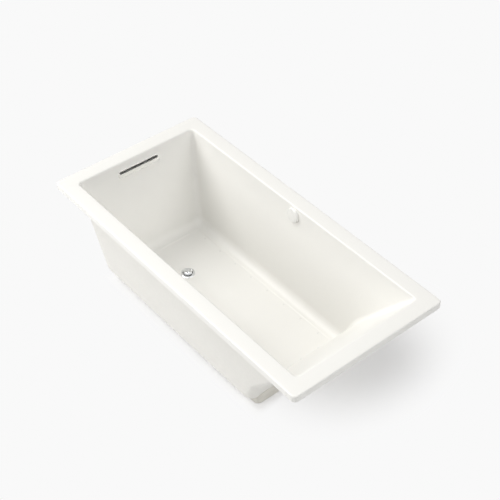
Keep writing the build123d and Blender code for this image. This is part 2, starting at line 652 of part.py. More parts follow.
def hose_clamps():
    """Worm-drive clamps at the four hose ends."""
    places = [(AIR_X, RISER_Y, OUTLET_Z + 12), (AIR_X, RISER_Y, VALVE_Z - 17),
              (AIR_X, RISER_Y, VALVE_Z + 56), (INLET_X, JET_LINE_Y, BASE_HEIGHT + 14)]
    clamps = []
    for x, y, z in places:
        band = pipe((x, y, z), (0, 0, 1), HOSE_R + 1.2, HOSE_R + 0.1, 9)
        screw = rod((x - 7, y + HOSE_R + 3.4, z + 4.5), (1, 0, 0), 3.2, 14)
        clamps.append(band + (screw - rod((x, y, z), (0, 0, 1), HOSE_R + 0.6, 9)))
    return clamps


def hose_strap():
    """Hanger that holds the top of the loop under the drain-end rail."""
    middle = (RISER_Y + LOOP_Y) / 2
    strap = rod((AIR_X, middle - 6, LOOP_Z), (0, 1, 0), HOSE_R + 3, 12)
    strap += box(AIR_X - 6, AIR_X + 6, middle - 6, middle + 6, LOOP_Z, RAIL_Z)
    return strap - rod((AIR_X, middle - 7, LOOP_Z), (0, 1, 0), HOSE_R + 0.2, 14)


HINGE_Y = RISER_Y + FLAP_R + 2
HINGE_Z = VALVE_Z + 9.5


def valve_parts():
    """Check valve: a flap that lies on its seat and lifts when the blower runs."""
    axis = Plane(origin=(AIR_X, RISER_Y, 0))
    top = VALVE_Z + 44
    inner = VALVE_R - 3.5
    body = turned(
        [(SPIGOT_BORE, VALVE_Z - 23), (SPIGOT_R, VALVE_Z - 23), (SPIGOT_R, VALVE_Z),
         (VALVE_R, VALVE_Z), (VALVE_R, top), (inner, top), (inner, VALVE_Z + 6),
         (11, VALVE_Z + 6), (11, VALVE_Z)],
        axis)
    for side in (-1, 1):
        ear = box(-1.5, 1.5, HINGE_Y - 2.4, HINGE_Y + 2.2, VALVE_Z + 5, HINGE_Z + 2.4)
        body += Pos(AIR_X + side * 6, 0, 0) * ear
    body -= rod((AIR_X - 8, HINGE_Y, HINGE_Z), (1, 0, 0), 1.52, 16)
    cap = turned(
        [(SPIGOT_BORE, top), (VALVE_R, top), (VALVE_R, top + 6), (SPIGOT_R, top + 6),
         (SPIGOT_R, top + 28), (SPIGOT_BORE, top + 28)],
        axis)
    flap = rod((AIR_X, RISER_Y, VALVE_Z + 6.3), (0, 0, 1), FLAP_R, 2.5)
    flap += box(AIR_X - 4, AIR_X + 4, RISER_Y, HINGE_Y, VALVE_Z + 6.3, VALVE_Z + 8.8)
    flap += rod((AIR_X - 4, HINGE_Y, HINGE_Z), (1, 0, 0), 2.6, 8)
    flap -= rod((AIR_X - 5, HINGE_Y, HINGE_Z), (1, 0, 0), 1.56, 10)
    pin = rod((AIR_X - 7.5, HINGE_Y, HINGE_Z), (1, 0, 0), 1.5, 15)
    return {"check_valve_body": body, "check_valve_cap": cap, "check_valve_flap": flap,
            "flap_pin": pin}


# Blower
def blower_tray():
    """Folded steel tray screwed to the end of the base board."""
    start = MOTOR_Y - TRAY_MARGIN
    tray = box(SERVICE_X, BASE_X0, start, JET_LINE_Y + TRAY_MARGIN, PAD_PROUD, TRAY_Z)
    return tray + box(BASE_X0 - SHEET, BASE_X0, start + TRAY_MARGIN, JET_LINE_Y - TRAY_MARGIN,
                      PAD_PROUD, BASE_HEIGHT - 4)


def blower_housing():
    """Scroll with its outlet duct, foot and screw bosses."""
    y0, y1 = SCROLL_Y, SCROLL_FRONT
    centre = (BLOWER_X, y0, SHAFT_Z)
    left = BLOWER_X - SCROLL_R
    foot_z = TRAY_Z + FOOT_PAD
    duct_right = 2 * AIR_X - left
    body = rod(centre, (0, 1, 0), SCROLL_R, SCROLL_DEPTH)
    body += box(BLOWER_X - 30, BLOWER_X + 30, y0, y1, foot_z, SHAFT_Z - 20)
    body += box(left, duct_right, y0, y1, SHAFT_Z, OUTLET_Z)
    for x, z in BOSSES:
        body += rod((x, y0 + 36, z), (0, 1, 0), 5, SCROLL_DEPTH - 36)
    body += rod((AIR_X, RISER_Y, OUTLET_Z - 1), (0, 0, 1), SPIGOT_R, 29)
    body -= rod((BLOWER_X, y0 + 3, SHAFT_Z), (0, 1, 0), SCROLL_R - 3, SCROLL_DEPTH)
    body -= box(left + 3, duct_right - 3, y0 + 3, y1 - 3, SHAFT_Z, OUTLET_Z - 3)
    body -= rod((AIR_X, RISER_Y, OUTLET_Z - 5), (0, 0, 1), SPIGOT_BORE, 40)
    body -= rod((BLOWER_X, y0 - 1, SHAFT_Z), (0, 1, 0), SHAFT_R + 1.5, 6)
    for x, z in BOSSES:
        body -= rod((x, y1 - 10, z), (0, 1, 0), 1.6, 11)
    return body


def blower_inlet_cover():
    """Front plate with the round air inlet, guarded by rings and spokes."""
    y0 = SCROLL_FRONT
    plane = Plane(origin=(BLOWER_X, y0, SHAFT_Z), x_dir=(1, 0, 0), z_dir=(0, 1, 0))
    plate = Circle(SCROLL_R) - Circle(23)
    for sx in (-1, 1):
        for sy in (-1, 1):
            plate += Pos(sx * BOSS_OFFSET, sy * BOSS_OFFSET) * Circle(5)
            plate -= Pos(sx * BOSS_OFFSET, sy * BOSS_OFFSET) * Circle(1.6)
    for outer in (17, 10):
        plate += Circle(outer) - Circle(outer - 2)
    for turn in (0, 60, 120):
        plate += Rot(0, 0, turn) * Rectangle(48, 2.2)
    return plane * extrude(plate, COVER_THICK)


def blower_screws():
    """Pan-head screws that hold the inlet cover to its bosses."""
    screws = []
    for x, z in BOSSES:
        face = SCROLL_FRONT + COVER_THICK
        screw = rod((x, face, z), (0, 1, 0), SCREW_R, SCREW_HEAD)
        screw += rod((x, face, z), (0, -1, 0), 1.5, 11)
        screws.append(screw)
    return screws


def impeller():
    """Backward-curved wheel: back plate, hub, blades and front shroud."""
    y0 = SCROLL_Y + 8
    plane = Plane(origin=(BLOWER_X, y0, SHAFT_Z), x_dir=(1, 0, 0), z_dir=(0, 1, 0))
    blade_h = 22.0
    inner, outer = 13.0, IMPELLER_R - 0.5
    arc = ThreePointArc((inner, 0), ((inner + outer) / 2 + 1, 8.5), (outer - 5, 20))
    blade = extrude(trace(arc, 1.6), blade_h)
    wheel = extrude(Circle(IMPELLER_R), 2.5) + extrude(Circle(9), 20)
    for n in range(IMPELLER_BLADES):
        wheel += Rot(0, 0, 360 / IMPELLER_BLADES * n) * Pos(0, 0, 2) * blade
    wheel += Pos(0, 0, 2 + blade_h) * extrude(Circle(IMPELLER_R) - Circle(24), 2)
    wheel -= Pos(0, 0, -1) * extrude(Circle(SHAFT_R + 0.03), 40)
    return plane * wheel


def motor_parts():
    y0 = MOTOR_Y
    along = (0, 1, 0)
    can = rod((BLOWER_X, y0, SHAFT_Z), along, MOTOR_R, MOTOR_LENGTH)
    can -= rod((BLOWER_X, y0 - 1, SHAFT_Z), along, SHAFT_R + RUNNING_GAP, MOTOR_LENGTH + 2)
    for n in range(10):
        rib = Rot(0, 0, 36 * n) * Pos(MOTOR_R, 0, 0) * Box(3, 3, MOTOR_LENGTH - 16)
        rib = Plane(origin=(BLOWER_X, y0 + MOTOR_LENGTH / 2, SHAFT_Z), z_dir=along) * rib
        can += rib
    cap_plane = Plane(origin=(BLOWER_X, y0, SHAFT_Z), x_dir=(1, 0, 0), z_dir=(0, -1, 0))
    cap = extrude(Circle(MOTOR_R), 8) - extrude(Circle(MOTOR_R - 3), 5)
    for n in range(8):
        cap -= Rot(0, 0, 45 * n) * Pos(24, 0, 6) * Box(16, 4, 8)
    shaft = rod((BLOWER_X, y0 + 2, SHAFT_Z), along, SHAFT_R, MOTOR_LENGTH + 32)
    nut = Plane(origin=(BLOWER_X, SCROLL_Y + 28, SHAFT_Z), z_dir=along)
    return {"blower_motor": can, "motor_end_cap": cap_plane * cap, "blower_shaft": shaft,
            "impeller_nut": hex_nut(nut, 12, SHAFT_R + 0.03, 5)}


def switch_parts():
    """Air-operated switch box on the motor, with the mains inlet's gland."""
    low = SHAFT_Z + MOTOR_R - 4
    x0, x1 = BLOWER_X - 22, BLOWER_X + 22
    case = box(x0, x1, NIPPLE_Y - 24, NIPPLE_Y + 22, low, BOX_TOP - 8)
    case = fillet(case.edges().filter_by(Axis.Z), 5)
    motor = rod((BLOWER_X, NIPPLE_Y - 30, SHAFT_Z), (0, 1, 0), MOTOR_R + 1.7, 60)
    case -= motor
    case += rod((BLOWER_X + 13, NIPPLE_Y, BOX_TOP - 9), (0, 0, 1), 1.6, 8)
    middle = (x0, NIPPLE_Y - 4, (low + BOX_TOP) / 2 + 1)
    gland = pipe(middle, (-1, 0, 0), 8, 4, 4) + pipe(middle, (-1, 0, 0), 6, 4, 13)
    return {"blower_switch_box": case, "cable_gland": gland}


def blower_feet():
    return [rod((BLOWER_X + x, y, TRAY_Z), (0, 0, 1), 7, FOOT_PAD)
            for x in (-21, 21) for y in (SCROLL_Y + 10, SCROLL_FRONT - 10)]


def hose_riser():
    start = OUTLET_Z + 3
    return pipe((AIR_X, RISER_Y, start), (0, 0, 1), HOSE_R, HOSE_BORE, VALVE_Z - 3 - start)


# Write one file per part
PARTS = {
    "acrylic_shell": acrylic_shell(),
    "fibreglass_backing": fibreglass_backing(),
    "base_board": base_board(),
    "levelling_pads": levelling_pads(),
    **rim_rails(),
    **drain_parts(),
    **overflow_parts(),
    **control_parts(),
    "control_air_tube": control_tube(),
    "tube_clips": tube_clips(),
    "air_channel": air_channel(),
    "air_jets": air_jets(),
    "air_inlet_box": air_inlet_box(),
    "air_hose_loop": hose_loop(),
    "air_hose_riser": hose_riser(),
    "hose_clamps": hose_clamps(),
    "hose_strap": hose_strap(),
    **valve_parts(),
    "blower_tray": blower_tray(),
    "blower_feet": blower_feet(),
    "blower_housing": blower_housing(),
    "blower_inlet_cover": blower_inlet_cover(),
    "blower_screws": blower_screws(),
    "blower_impeller": impeller(),
    **motor_parts(),
    **switch_parts(),
}

for name, shape in PARTS.items():
    if isinstance(shape, list):
        shape = Compound(children=[s.solids()[0] for s in shape])
    export_step(shape, f"parts/{name}.step")
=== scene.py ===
"""Looks of the drop-in air bathtub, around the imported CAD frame. Metres throughout."""

import json
from math import cos, radians, sin, sqrt, tan

import bmesh
import bpy
import numpy as np
from mathutils import Matrix, Vector


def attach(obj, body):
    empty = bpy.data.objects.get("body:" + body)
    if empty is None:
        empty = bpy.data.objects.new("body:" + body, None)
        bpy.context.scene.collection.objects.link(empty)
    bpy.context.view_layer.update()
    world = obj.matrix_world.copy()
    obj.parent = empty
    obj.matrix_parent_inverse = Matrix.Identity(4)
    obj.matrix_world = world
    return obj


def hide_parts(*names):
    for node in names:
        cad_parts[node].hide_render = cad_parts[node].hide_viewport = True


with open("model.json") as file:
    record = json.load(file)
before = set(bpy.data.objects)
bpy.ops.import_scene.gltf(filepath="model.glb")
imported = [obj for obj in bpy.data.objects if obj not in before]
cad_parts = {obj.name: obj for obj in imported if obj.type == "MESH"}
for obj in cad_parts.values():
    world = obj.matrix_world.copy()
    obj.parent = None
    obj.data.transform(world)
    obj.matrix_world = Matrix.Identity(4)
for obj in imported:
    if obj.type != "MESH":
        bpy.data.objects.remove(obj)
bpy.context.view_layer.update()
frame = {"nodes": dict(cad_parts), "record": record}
scene = bpy.context.scene

# Camera, fitted to the edges of the rim; angles in degrees
CAMERA_AT = (2.844, -2.285, 3.840)
CAMERA_AZIMUTH, CAMERA_ELEVATION = 50.39, 42.73
FOCAL_PIXELS, FRAME_PIXELS = 1126.7, 500
SENSOR, FAR_CLIP = 36.0, 60

lens = bpy.data.cameras.new("camera")
lens.sensor_width = SENSOR
lens.lens = FOCAL_PIXELS / FRAME_PIXELS * SENSOR
lens.clip_end = FAR_CLIP
camera = bpy.data.objects.new("camera", lens)
camera.location = CAMERA_AT
camera.rotation_euler = (radians(90 - CAMERA_ELEVATION), 0, radians(CAMERA_AZIMUTH))
scene.collection.objects.link(camera)
scene.camera = camera

# Sizes of the moulded tub, as in the CAD. A depth is measured down from the top of the rim.
LENGTH, WIDTH, RIM_WIDTH = 1.6764, 0.8128, 0.076
BASIN_DEPTH, RIM_Z = 0.502, 0.541
LIP_HEIGHT, RIM_CORNER_R, RIM_EDGE_R = 0.032, 0.022, 0.007
ACRYLIC, LAYERS = 0.004, 0.009
SIDE_DRAFT, DRAIN_END_DRAFT = radians(5.6), radians(12.1)
BACK_SLOPE, FOOT_SLOPE = radians(50.5), radians(67.0)
LUMBAR_HEIGHT, FOOT_HEIGHT = 0.040, 0.140
COVE_R, FOOT_COVE_R = 0.045, 0.018
CORNER_TOP_R, CORNER_FOOT_R, CORNER_TIGHTEN = 0.020, 0.032, 0.4
FLOOR_STEP, STEP_MARGIN, STEP_BEVEL = 0.0025, 0.005, 0.005
LEDGE_DEPTH = BASIN_DEPTH - FLOOR_STEP
FLOOR_Z = RIM_Z - BASIN_DEPTH
BASIN_X = LENGTH / 2 - RIM_WIDTH
BASIN_Y = WIDTH / 2 - RIM_WIDTH
BEND_FOOT = BASIN_DEPTH - FOOT_HEIGHT
BEND_TOP = BEND_FOOT - LUMBAR_HEIGHT
BEND_R = LUMBAR_HEIGHT / (cos(BACK_SLOPE) - cos(FOOT_SLOPE))
BEND_CENTRE_X = BASIN_X - BEND_TOP / tan(BACK_SLOPE) + BEND_R * sin(BACK_SLOPE)
BEND_CENTRE_DEPTH = BEND_TOP + BEND_R * cos(BACK_SLOPE)
FOOT_X = BEND_CENTRE_X - BEND_R * sin(FOOT_SLOPE)
DRAIN_X, DRAIN_HOLE_R = -0.3912, 0.0234
OVERFLOW_DROP, OVERFLOW_LENGTH, OVERFLOW_HEIGHT = 0.059, 0.238, 0.038
CONTROL_DROP, CONTROL_HOLE_R = 0.047, 0.0124

# The skins: how finely they are divided, and small gaps between the two layers
EDGE_ANGLES = np.radians(np.arange(0, 91, 10))
WALL_STEPS, COVE_STEPS = 60, 22
CORNER_STEPS, SIDE_STEPS = 14, (34, 14)
BEVEL_PLACES = (0.0, 0.15, 0.85, 1.0)
LEAST_EDGE_R, LIP_MIDDLE = 0.0005, 0.6
LAYER_GAP, BACKING_SHORT = 0.0001, 0.004
SKIN_SHARP, HOSE_SHARP = 30.0, 50.0

# Holes through the skins: half the length of each cutter, and the slot inside its trim
FLOOR_CUT, WALL_CUT, SLOT_INSET = 0.03, 0.016, 0.006


# Smooth surface of the basin, from the same formulas as the CAD
def drain_end(depth, grow):
    """x = BASIN_X - depth tan(draft) + grow / cos(draft)."""
    return BASIN_X - depth * tan(DRAIN_END_DRAFT) + grow / cos(DRAIN_END_DRAFT)


def side_wall(depth, grow):
    """y = BASIN_Y - depth tan(draft) + grow / cos(draft)."""
    return BASIN_Y - depth * tan(SIDE_DRAFT) + grow / cos(SIDE_DRAFT)


def backrest(depth, grow):
    """A straight slope, then x = cx - sqrt(r^2 - (cd - depth)^2), then a steep straight foot."""
    bend_r = BEND_R - grow
    if depth <= BEND_CENTRE_DEPTH - bend_r * cos(BACK_SLOPE):
        return BASIN_X + grow / sin(BACK_SLOPE) - depth / tan(BACK_SLOPE)
    if depth <= BEND_CENTRE_DEPTH - bend_r * cos(FOOT_SLOPE):
        return BEND_CENTRE_X - sqrt(bend_r**2 - (BEND_CENTRE_DEPTH - depth) ** 2)
    return FOOT_X + grow / sin(FOOT_SLOPE) - (depth - BEND_FOOT) / tan(FOOT_SLOPE)


def floor_depth(grow):
    """The ledge round the floor's recess inside, and a full layer under the floor outside."""
    return LEDGE_DEPTH if grow == 0 else BASIN_DEPTH + grow


def coved(wall, draft, radius, depth, grow):
    """The wall, then x = w - c / cos(draft) + sqrt(c^2 - (depth - centre)^2) round its foot."""
    cove_r = radius + grow
    centre = floor_depth(grow) - cove_r
    if depth <= centre + cove_r * sin(draft):
        return wall(depth, grow)
    reach = sqrt(max(cove_r**2 - (depth - centre) ** 2, 0.0))
    return wall(centre, grow) - cove_r / cos(draft) + reach


def rim_flare(depth, grow):
    """r - sqrt(r^2 - h^2), the setback of the rim's rounded inner edge."""
    edge_r = RIM_EDGE_R - grow
    height = edge_r - (depth - grow)
    if edge_r <= 0 or height <= 0:
        return 0.0
    return edge_r - sqrt(edge_r**2 - min(height, edge_r) ** 2)


def basin_outline(depth, grow):
    """Drain-end x, head-end x, half width and corner radius at one depth. The radius grows
    evenly with the depth, and tightens where the cove draws the walls in."""
    flare = rim_flare(depth, grow)
    left = coved(drain_end, DRAIN_END_DRAFT, COVE_R, depth, grow) + flare
    side = coved(side_wall, SIDE_DRAFT, COVE_R, depth, grow) + flare
    right = coved(backrest, radians(90) - FOOT_SLOPE, FOOT_COVE_R, depth, grow) + flare
    growth = (CORNER_FOOT_R - CORNER_TOP_R) * depth / BASIN_DEPTH
    inset = side_wall(depth, grow) - side + flare
    return -left, right, side, CORNER_TOP_R + growth + grow + flare - CORNER_TIGHTEN * inset


def basin_depths(grow):
    """Depths from the rim's edge to the foot of the cove, close together where it curves."""
    edge_r, cove_r = max(RIM_EDGE_R - grow, 0.0), COVE_R + grow
    centre = floor_depth(grow) - cove_r
    edge = [grow + edge_r * (1 - cos(a)) for a in EDGE_ANGLES]
    wall = np.linspace(edge[-1], centre, WALL_STEPS)[1:]
    cove = centre + cove_r * np.sin(np.radians(np.linspace(0, 90, COVE_STEPS)))
    return list(edge if edge_r > 0 else edge[:1]) + list(wall) + list(cove[1:])


def loop_points(x0, x1, half_width, radius, z):
    """A rounded rectangle as a ring: corners are arcs, and the sides are evenly divided."""
    rows = []
    centres = ((x1 - radius, half_width - radius), (x0 + radius, half_width - radius),
               (x0 + radius, radius - half_width), (x1 - radius, radius - half_width))
    for n, (cx, cy) in enumerate(centres):
        angle = np.radians(90 * n + np.linspace(0, 90, CORNER_STEPS + 1))
        arc = np.stack([cx + radius * np.cos(angle), cy + radius * np.sin(angle)], axis=1)
        rows.append(arc)
        nx, ny = centres[(n + 1) % 4]
        turn = radians(90 * (n + 1))
        end = np.array([nx + radius * cos(turn), ny + radius * sin(turn)])
        t = np.linspace(0, 1, SIDE_STEPS[n % 2] + 1)[1:-1, None]
        rows.append(arc[-1] * (1 - t) + end * t)
    ring = np.concatenate(rows)
    return np.column_stack([ring, np.full(len(ring), z)])


def mesh_object(name, vertices, faces, sharp=SKIN_SHARP):
    """A smooth-shaded mesh from an array of points and a list of faces."""
    mesh = bpy.data.meshes.new(name)
    mesh.from_pydata(np.asarray(vertices).tolist(), [], faces)
    mesh.update()
    mesh.shade_smooth()
    mesh.set_sharp_from_angle(angle=radians(sharp))
    made = bpy.data.objects.new(name, mesh)
    scene.collection.objects.link(made)
    return made


def ring_quads(rings, count, joined=False):
    """Corners of the quads between rings as one array: k and k + 1, on this ring and the next."""
    k = np.arange(count)
    here = np.arange(rings if joined else rings - 1)[:, None]
    low, high = here * count, (here + 1) % rings * count
    after = (k + 1) % count
    return np.stack([high + k, high + after, low + after, low + k], axis=2).reshape(-1, 4)


def closed_skin(name, loops):
    """Rings joined in order; the first and the last are capped."""
    count, rings = len(loops[0]), len(loops)
    last = np.arange(count)[::-1] + (rings - 1) * count
    faces = ring_quads(rings, count).tolist() + [np.arange(count).tolist(), last.tolist()]
    return mesh_object(name, np.concatenate(loops), faces)


def rim_loops(grow, lip):
    """The lip from its bottom edge up, round the rim's edge of radius r, to the flat."""
    edge_r = max(RIM_EDGE_R - grow, LEAST_EDGE_R)
    sizes = [(0.0, RIM_Z - lip), (0.0, RIM_Z - lip * LIP_MIDDLE), (0.0, RIM_Z - grow - edge_r)]
    for a in EDGE_ANGLES[1:]:
        sizes.append((edge_r * (1 - cos(a)), RIM_Z - grow - edge_r * (1 - sin(a))))
    loops = []
    for inset, z in sizes:
        inset += grow
        loops.append(loop_points(inset - LENGTH / 2, LENGTH / 2 - inset, WIDTH / 2 - inset,
                                 RIM_CORNER_R - inset, z))
    return loops


def basin_loops(grow):
    """The basin's outline at each depth, from the rim's edge to the foot of the cove."""
    return [loop_points(*basin_outline(d, grow), RIM_Z - d) for d in basin_depths(grow)]


def floor_loops():
    """Down the floor's recess: inset = margin + bevel t, and drop = step t^2 (3 - 2 t)."""
    x0, x1, half_width, radius = basin_outline(LEDGE_DEPTH, 0)
    loops = []
    for t in BEVEL_PLACES:
        inset = STEP_MARGIN + STEP_BEVEL * t
        loops.append(loop_points(x0 + inset, x1 - inset, half_width - inset,
                                 radius - STEP_BEVEL * t,
                                 RIM_Z - LEDGE_DEPTH - FLOOR_STEP * t * t * (3 - 2 * t)))
    return loops


def tub_skin(name, inside, outside, lip):
    """One moulded layer, from the floor up its inner face, over the rim and down its lip, and
    back the same way on its outer face."""
    near = basin_loops(inside) + (floor_loops() if inside == 0 else [])
    loops = near[::-1] + rim_loops(inside, lip)[::-1] + rim_loops(outside, lip)
    loops += basin_loops(outside)
    return closed_skin(name, loops)


def prism(name, outline, depth, matrix):
    """An outline extruded both ways along a plane's normal."""
    low = np.column_stack([outline, np.full(len(outline), -depth)])
    made = closed_skin(name, [low + (0, 0, 2 * depth), low])
    made.data.transform(matrix)
    return made


def circle(radius, steps=64):
    """Points (r cos a, r sin a)."""
    a = np.linspace(0, 2 * np.pi, steps, endpoint=False)
    return np.column_stack([radius * np.cos(a), radius * np.sin(a)])


def obround(length, height, steps=24):
    """Two half circles of radius height / 2, one at each end."""
    r = height / 2
    a = np.linspace(-np.pi / 2, np.pi / 2, steps)
    right = np.column_stack([length / 2 - r + r * np.cos(a), r * np.sin(a)])
    return np.concatenate([right, -right])


def plane_matrix(origin, x_dir, normal):
    """Columns x, y = normal cross x and the normal, with the origin in the last."""
    x, n = Vector(x_dir), Vector(normal)
    y = n.cross(x)
    return Matrix((
        (x.x, y.x, n.x, origin[0]), (x.y, y.y, n.y, origin[1]),
        (x.z, y.z, n.z, origin[2]), (0, 0, 0, 1)))


OVERFLOW_PLANE = plane_matrix(
    (-drain_end(OVERFLOW_DROP, 0), 0, RIM_Z - OVERFLOW_DROP), (0, 1, 0),
    (cos(DRAIN_END_DRAFT), 0, sin(DRAIN_END_DRAFT)))
CONTROL_PLANE = plane_matrix(
    (0, side_wall(CONTROL_DROP, 0), RIM_Z - CONTROL_DROP), (1, 0, 0),
    (0, -cos(SIDE_DRAFT), sin(SIDE_DRAFT)))


def cut_openings(skin):
    """Cuts the drain, overflow and control holes through a layer."""
    slot = obround(OVERFLOW_LENGTH - SLOT_INSET, OVERFLOW_HEIGHT - SLOT_INSET)
    cutters = [
        prism("cut_drain", circle(DRAIN_HOLE_R), FLOOR_CUT,
              Matrix.Translation((DRAIN_X, 0, FLOOR_Z))),
        prism("cut_overflow", slot, WALL_CUT, OVERFLOW_PLANE),
        prism("cut_control", circle(CONTROL_HOLE_R), WALL_CUT, CONTROL_PLANE)]
    for cutter in cutters:
        hole = skin.modifiers.new("hole", "BOOLEAN")
        hole.object, hole.operation, hole.solver = cutter, "DIFFERENCE", "EXACT"
    depsgraph = bpy.context.evaluated_depsgraph_get()
    cut = bpy.data.meshes.new_from_object(skin.evaluated_get(depsgraph))
    skin.modifiers.clear()
    skin.data = cut
    cut.shade_smooth()
    cut.set_sharp_from_angle(angle=radians(SKIN_SHARP))
    for cutter in cutters:
        bpy.data.objects.remove(cutter)


shell = tub_skin("acrylic_skin", 0.0, ACRYLIC, LIP_HEIGHT)
cut_openings(shell)
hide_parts("acrylic_shell")
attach(shell, "tub")

backing = tub_skin("backing_skin", ACRYLIC + LAYER_GAP, LAYERS, LIP_HEIGHT - BACKING_SHORT)
cut_openings(backing)
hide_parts("fibreglass_backing")
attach(backing, "tub")

# Ribbed air hoses: their section, then the places they run through
HOSE_R, HOSE_BORE, RIB_PITCH, RIB_DEPTH = 0.019, 0.016, 0.0062, 0.0011
CUFF, CUFF_BLEND, BORE_SPACING = 0.031, 0.004, 6
AIR_X, RISER_Y, INLET_X, JET_LINE_Y = -0.7847, 0.162375, -0.720328, 0.218375
OUTLET_Z, VALVE_Z, LOOP_Z, LOOP_Y = 0.134, 0.216, 0.462, 0.301375
LOOP_R, DOWN_R = 0.069, 0.150
VALVE_HEIGHT, RISER_GAP, LOOP_DROP = 0.052, 0.003, 0.150
ELBOW_Z, INLET_Z = 0.150, 0.038


def rounded_path(points, radii, step=0.0012):
    """Straight runs joined by arcs. An arc of radius r starts r tan(turn / 2) short of its
    corner, and p = start + r sin(a) t + r (1 - cos(a)) n follows it round."""
    points = [np.array(p) for p in points]
    runs, start = [], points[0]
    for before, corner, after, r in zip(points, points[1:], points[2:], radii):
        t = (corner - before) / np.linalg.norm(corner - before)
        out = (after - corner) / np.linalg.norm(after - corner)
        turn = np.arccos(np.clip(t @ out, -1, 1))
        n = out - (out @ t) * t
        n /= np.linalg.norm(n)
        enter = corner - r * np.tan(turn / 2) * t
        a = np.linspace(0, turn, max(int(r * turn / step), 2))[:, None]
        runs += [np.linspace(start, enter, max(int(np.linalg.norm(enter - start) / step), 2)),
                 enter + r * np.sin(a) * t + r * (1 - np.cos(a)) * n]
        start = runs[-1][-1]
    runs.append(np.linspace(start, points[-1],
                            max(int(np.linalg.norm(points[-1] - start) / step), 2)))
    path = np.concatenate(runs)
    keep = np.r_[True, np.linalg.norm(np.diff(path, axis=0), axis=1) > step / 10]
    return path[keep]


def ribbed_hose(name, path, around=40):
    """Rings of radius r - depth (1 - cos(2 pi s / pitch)) / 2 along the path, with plain cuffs,
    and a plain bore inside."""
    along = np.gradient(path, axis=0)
    along /= np.linalg.norm(along, axis=1)[:, None]
    side = np.array([1.0, 0, 0]) - along * along[:, :1]
    side /= np.linalg.norm(side, axis=1)[:, None]
    up = np.cross(along, side)
    s = np.r_[0, np.cumsum(np.linalg.norm(np.diff(path, axis=0), axis=1))]
    ribbed = np.clip((np.minimum(s, s[-1] - s) - CUFF) / CUFF_BLEND, 0, 1)
    outer = HOSE_R - ribbed * RIB_DEPTH * (1 - np.cos(2 * np.pi * s / RIB_PITCH)) / 2
    a = np.linspace(0, 2 * np.pi, around, endpoint=False)
    turn = (np.cos(a)[None, :, None] * side[:, None] + np.sin(a)[None, :, None] * up[:, None])
    skin = path[:, None] + outer[:, None, None] * turn
    places = np.unique(np.r_[np.arange(0, len(path), BORE_SPACING), len(path) - 1])
    bore = (path[:, None] + HOSE_BORE * turn)[places][::-1]
    rings = np.concatenate([skin, bore])[::-1]
    quads = ring_quads(len(rings), around, joined=True)
    return mesh_object(name, rings.reshape(-1, 3), quads.tolist(), HOSE_SHARP)


hose_loop = ribbed_hose("ribbed_loop", rounded_path(
    [(AIR_X, RISER_Y, VALVE_Z + VALVE_HEIGHT), (AIR_X, RISER_Y, LOOP_Z), (AIR_X, LOOP_Y, LOOP_Z),
     (AIR_X, LOOP_Y, LOOP_Z - LOOP_DROP), (INLET_X, JET_LINE_Y, ELBOW_Z),
     (INLET_X, JET_LINE_Y, INLET_Z)],
    [LOOP_R, LOOP_R, DOWN_R, DOWN_R]))
hose_riser = ribbed_hose("ribbed_riser", rounded_path(
    [(AIR_X, RISER_Y, OUTLET_Z + RISER_GAP), (AIR_X, RISER_Y, VALVE_Z - RISER_GAP)], []))
for made, node in ((hose_loop, "air_hose_loop"), (hose_riser, "air_hose_riser")):
    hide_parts(node)
    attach(made, "tub")


# Materials
def put(tree, kind, inputs=(), **settings):
    """A node with its settings; inputs are values or sockets to link from."""
    made = tree.nodes.new(kind)
    for key, value in settings.items():
        setattr(made, key, value)
    for key, value in dict(inputs).items():
        if isinstance(value, bpy.types.NodeSocket):
            tree.links.new(value, made.inputs[key])
        else:
            made.inputs[key].default_value = value
    return made


def maths(tree, operation, *values):
    """What a Math node makes of its values."""
    return put(tree, "ShaderNodeMath", dict(enumerate(values)), operation=operation).outputs[0]


def vector_maths(tree, operation, *values):
    """What a Vector Math node makes of its values: a number for a length or a dot product."""
    made = put(tree, "ShaderNodeVectorMath", dict(enumerate(values)), operation=operation)
    return made.outputs["Value" if operation in ("LENGTH", "DOT_PRODUCT") else "Vector"]


def faded(tree, value, low, high, start=0.0, end=1.0, ease="LINEAR"):
    """start up to low, end from high on, and an even or an eased change between."""
    return put(tree, "ShaderNodeMapRange",
               {"Value": value, "From Min": low, "From Max": high, "To Min": start,
                "To Max": end}, interpolation_type=ease).outputs[0]


def noise(tree, at, scale, detail):
    """A noise field over the place given."""
    return put(tree, "ShaderNodeTexNoise", {"Vector": at, "Scale": scale, "Detail": detail})


SURFACE = (("Colour", "Color"), ("Roughness", "Float"), ("Normal", "Vector"))
COMMON = (("Colour", "Color"), ("Tint", "Float"), ("Scale", "Float"), ("Stretch", "Vector"),
          ("Height", "Float"), ("Roughness", "Float"), ("Variation", "Float"))


def pattern_group(name):
    """An empty node group with the patterns' common sockets, and the stretched place."""
    group = bpy.data.node_groups.new(name, "ShaderNodeTree")
    for way, sockets in (("INPUT", COMMON), ("OUTPUT", SURFACE)):
        for socket, kind in sockets:
            group.interface.new_socket(socket, in_out=way, socket_type="NodeSocket" + kind)
    source = group.nodes.new("NodeGroupInput").outputs
    sink = group.nodes.new("NodeGroupOutput").inputs
    place = put(group, "ShaderNodeTexCoord").outputs["Object"]
    return group, source, sink, vector_maths(group, "MULTIPLY", place, source["Stretch"])


def finish_group(group, source, sink, pattern, height):
    """Colour x (1 + tint p), roughness + variation p, and a bump of the height field."""
    tint = maths(group, "MULTIPLY_ADD", pattern, source["Tint"], 1.0)
    shade = put(group, "ShaderNodeVectorMath", {0: source["Colour"], "Scale": tint},
                operation="SCALE")
    rough = maths(group, "MULTIPLY_ADD", pattern, source["Variation"], source["Roughness"])
    bump = put(group, "ShaderNodeBump", {"Height": height, "Distance": source["Height"]})
    for name, socket in (("Colour", shade.outputs[0]), ("Roughness", rough),
                         ("Normal", bump.outputs[0])):
        group.links.new(socket, sink[name])
    return group


